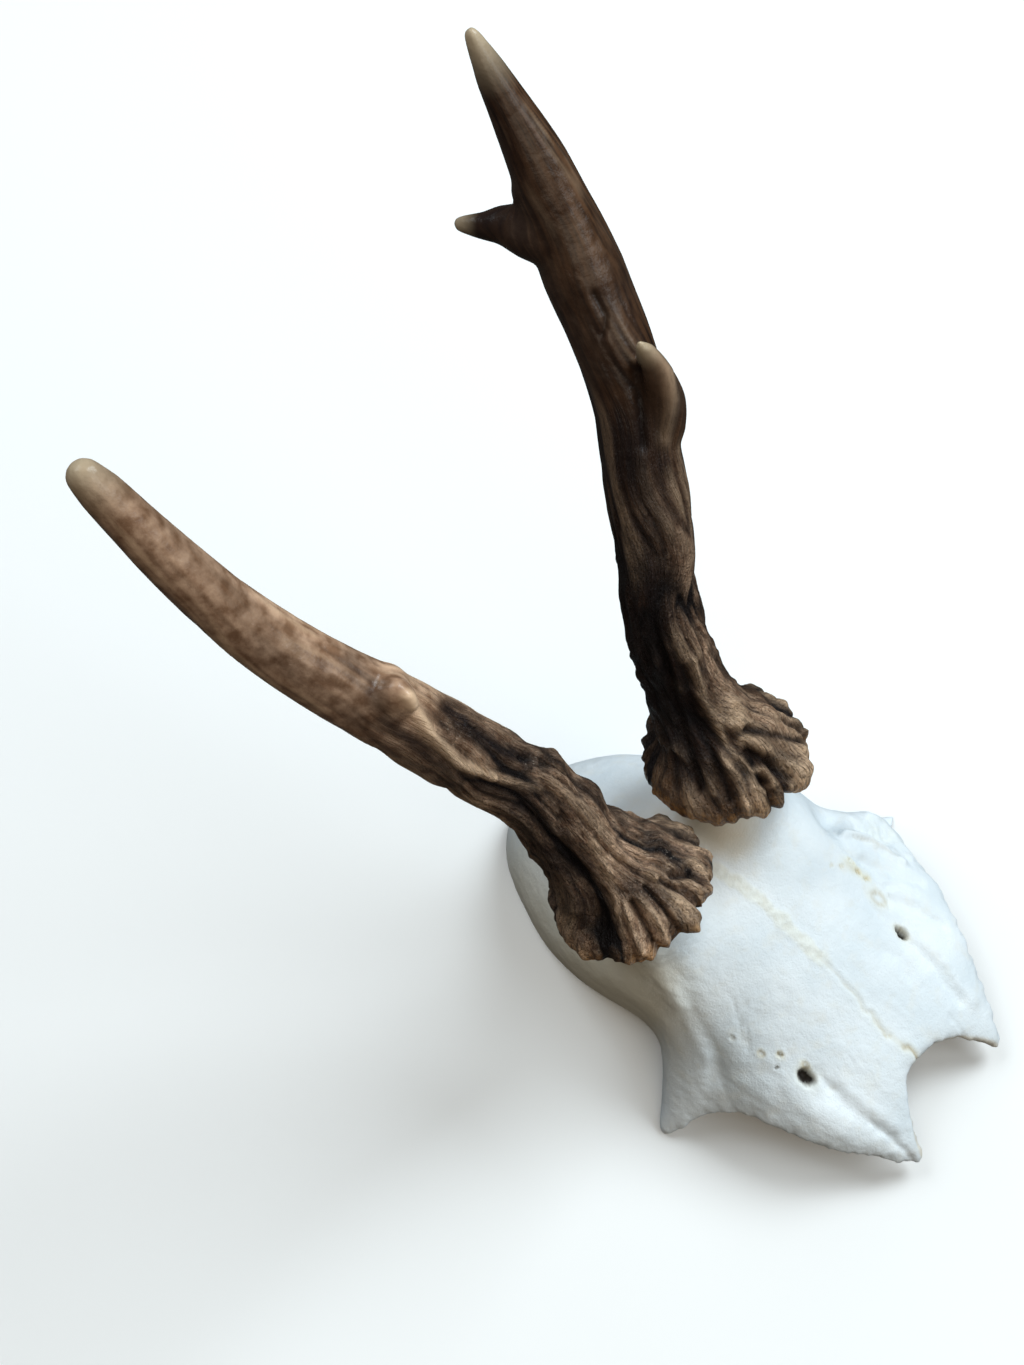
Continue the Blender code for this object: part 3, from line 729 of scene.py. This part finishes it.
# Painted shade and real dark patches together
shade_and_dark_patch_share = product(tree, read(tree, "dark_patches_and_painted_shade"), clouds(tree, grain, 1.1, 0.15, 0.50, 0.5, 1.0))
colour = tint(tree, shade_and_dark_patch_share, colour, (0.016, 0.010, 0.010, 1))
colour = tint(tree, read(tree, "hollow"), colour, (0.009, 0.006, 0.006, 1))
colour = tint(tree, read(tree, "pale_tip"), colour, (0.44, 0.345, 0.235, 1))
# Painted highlights: small pale glints in the pitted places
painted_glints = product(tree, read(tree, "pitted"), clouds(tree, lie, 3.1, 0.62, 0.70, 0.0, 0.6))
colour = tint(tree, painted_glints, colour, (0.60, 0.50, 0.42, 1))
tree.links.new(colour, skin.inputs["Base Color"])
dull = product(tree, coarse, clouds(tree, grain, 0.7, 0.30, 0.70, 0.10, 0.28))
dulled = tree.nodes.new("ShaderNodeMath")
dulled.operation = "ADD"
feed(tree, dulled.inputs[0], dull)
dulled.inputs[1].default_value = 0.26
tree.links.new(dulled.outputs["Value"], skin.inputs["Roughness"])
streaks = raised(tree, product(tree, coarse, clouds(tree, grain, 2.4, 0.38, 0.58)), 0.60)
grit = raised(tree, product(tree, coarse, clouds(tree, lie, 2.2, 0.38, 0.62)), 0.16, streaks)
tree.links.new(raised(tree, clouds(tree, lie, 0.5, 0.30, 0.70), 0.10, grit), skin.inputs["Normal"])
left.data.materials.append(horn)
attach(left, "root")
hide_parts("left_antler")

# The right antler: a long spike on a like coronet, with a low knob where its front tine never grew. It
# is solid bone that grew as one on its own pedicle, fawn and rubbed smooth over its upper half.
SPIKE_RADII = (10.0, 13.0, 10.8, 8.6, 7.4, 7.1, 7.1, 6.4, 5.5, 4.6, 3.6, 3.0)
right = fine_copy("right_antler", "spike_antler", 0.38, 20)
dress_antler(
    right, SPIKE_RADII, -1, RIGHT_SEAT, RIGHT_AXIS, 40,
    {
        "tone_with_painted_shade": (1.0, 0.95, 0.95, 0.95, 0.75),
        "swells": (
            ((-15.5, 25.5, 88.0), 4.0, 1.5 * UP_IN_VIEW + 0.6 * RIGHT_IN_VIEW),
            ((-12.0, 18.5, 76.0), 4.5, 2.0 * UP_IN_VIEW + 1.2 * RIGHT_IN_VIEW),
            ((-17.5, 27.0, 93.0), 2.0, 0.7 * UP_IN_VIEW),
            ((-34.5, 43.5, 132.0), 3.6, 1.0 * TO_VIEWER + 0.7 * UP_IN_VIEW),
            ((-31.0, 46.2, 127.5), 2.6, 0.9 * UP_IN_VIEW + 0.3 * RIGHT_IN_VIEW),
            ((-27.3, 37.7, 116.8), 3.6, -0.9 * TO_VIEWER),
            ((-25.7, 33.2, 109.4), 3.2, -0.8 * TO_VIEWER),
            ((-38.8, 41.0, 128.0), 4.0, -0.7 * TO_VIEWER),
        ),
        "pitted": (
            (((-10.2, 7.4, 64.0), (-10.5, 1.0, 62.0)), 3.4, 1.0),
            (((-19.8, 4.7, 65.0), (-18.0, 0.5, 62.5)), 3.2, 0.9),
            (((-31.0, 37.0, 118.0), (-27.5, 34.0, 112.0)), 2.6, 0.6),
            (((-21.5, 27.5, 97.5), (-17.5, 26.0, 91.5)), 2.3, 0.9),
        ),
        "lines": (
            (
                ((-34.1, 41.2, 131.5), (-34.0, 38.1, 121.0), (-32.7, 33.4, 111.4), (-28.8, 29.3, 102.7)),
                1.0, 1.6,
            ),
            (((-28.8, 29.3, 102.7), (-25.5, 26.5, 97.0), (-22.6, 23.7, 91.9)), 1.0, 0.7),
            (((-20.0, 14.5, 74.5), (-21.5, 9.0, 68.0), (-23.5, 5.5, 63.5), (-27.0, 1.5, 60.0)), 0.9, 0.7),
            (((-12.0, 1.5, 63.5), (-7.5, -1.0, 60.0), (-7.5, -4.5, 59.0), (-9.5, -7.0, 57.5)), 0.8, 1.0),
            (((-14.5, 0.0, 63.0), (-11.5, -3.0, 61.0), (-11.5, -6.0, 59.0), (-12.5, -9.0, 56.0)), 0.8, 1.0),
            (((-16.0, 3.5, 65.5), (-16.5, -0.5, 63.5), (-16.5, -4.5, 61.5), (-17.5, -9.0, 57.0)), 0.8, 1.0),
            (((-20.5, 2.5, 64.0), (-21.0, -1.0, 62.0), (-22.5, -6.0, 58.5)), 0.8, 1.0),
            (((-23.0, 4.0, 63.5), (-25.0, 1.0, 61.0), (-27.0, -3.0, 58.0)), 0.7, 0.8),
        ),
        "cuts": (
            (((-13.0, 0.0, 62.5), (-9.8, -2.5, 60.5), (-9.8, -5.0, 59.0)), 0.6, 1.0),
            (((-15.5, 1.5, 63.5), (-14.0, -3.5, 61.5), (-14.5, -8.5, 57.5)), 0.6, 1.0),
            (((-18.5, 2.5, 64.5), (-19.0, -2.0, 62.5), (-20.0, -7.5, 58.0)), 0.6, 1.0),
            (((-22.0, 3.0, 63.5), (-23.3, -0.5, 61.5), (-25.0, -4.5, 58.5)), 0.6, 0.9),
            (((-23.0, 19.0, 80.0), (-24.0, 15.0, 72.0), (-25.5, 10.5, 65.5), (-28.0, 5.5, 59.5)), 1.0, 0.7),
            (((-21.2, 28.3, 98.2), (-20.0, 27.7, 96.0)), 0.9, 1.0),
            (((-17.6, 25.5, 91.0), (-18.6, 26.0, 93.0)), 0.7, 0.9),
        ),
        # Real tan on the ridges, partly painted light along their lit edges
        "tan_and_painted_light": (
            (
                ((-22.1, 24.2, 93.5), (-18.6, 20.1, 84.0), (-18.2, 15.8, 76.7),
                 (-17.4, 11.6, 71.0), (-16.6, 6.5, 67.0)),
                3.2, 1.0,
            ),
            (((-33.5, 33.8, 112.0), (-27.1, 28.9, 102.2), (-23.5, 25.5, 95.0)), 2.2, 0.8),
            (((-10.0, -4.5, 59.0), (-15.0, -9.5, 57.0)), 3.5, 0.8),
        ),
        # Painted shade on the flanks turned from the light and below the knob's ridge, with some real dark in
        # it
        "dark": (
            (((-28.5, 24.0, 92.0), (-27.5, 18.0, 76.0), (-28.0, 13.0, 62.0), (-28.0, 6.0, 57.0)), 5.5, 0.8),
            (
                ((-28.0, 38.5, 118.5), (-26.2, 33.6, 110.4), (-24.3, 30.5, 104.2), (-20.5, 27.5, 97.0)),
                2.2, 1.0,
            ),
            (
                ((-39.0, 42.5, 128.5), (-36.9, 38.0, 120.0), (-34.8, 33.6, 111.0), (-31.0, 28.5, 102.0)),
                1.8, 0.85,
            ),
            (((-35.9, 51.0, 135.8), (-36.5, 47.0, 133.5), (-38.5, 43.5, 130.5)), 2.2, 0.6),
            (
                ((-44.0, 61.0, 141.0), (-41.5, 50.0, 130.0), (-38.5, 41.0, 118.0), (-33.0, 30.0, 100.0)),
                2.8, 0.5,
            ),
            (((-12.5, 20.0, 82.0), (-9.5, 13.0, 71.0)), 3.0, 0.7),
        ),
        "rust": (
            (((-27.0, 24.5, 99.0), (-31.0, 29.5, 108.0)), 1.8, 0.5),
            (((-12.0, -9.0, 54.0), (-22.0, -9.0, 52.0)), 3.0, 0.6),
        ),
        "pale_tips": (((-47.8, 89.0, 178.0), 11.0),),
    },
)
right.data.materials.append(horn)
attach(right, "root")
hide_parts("right_antler")
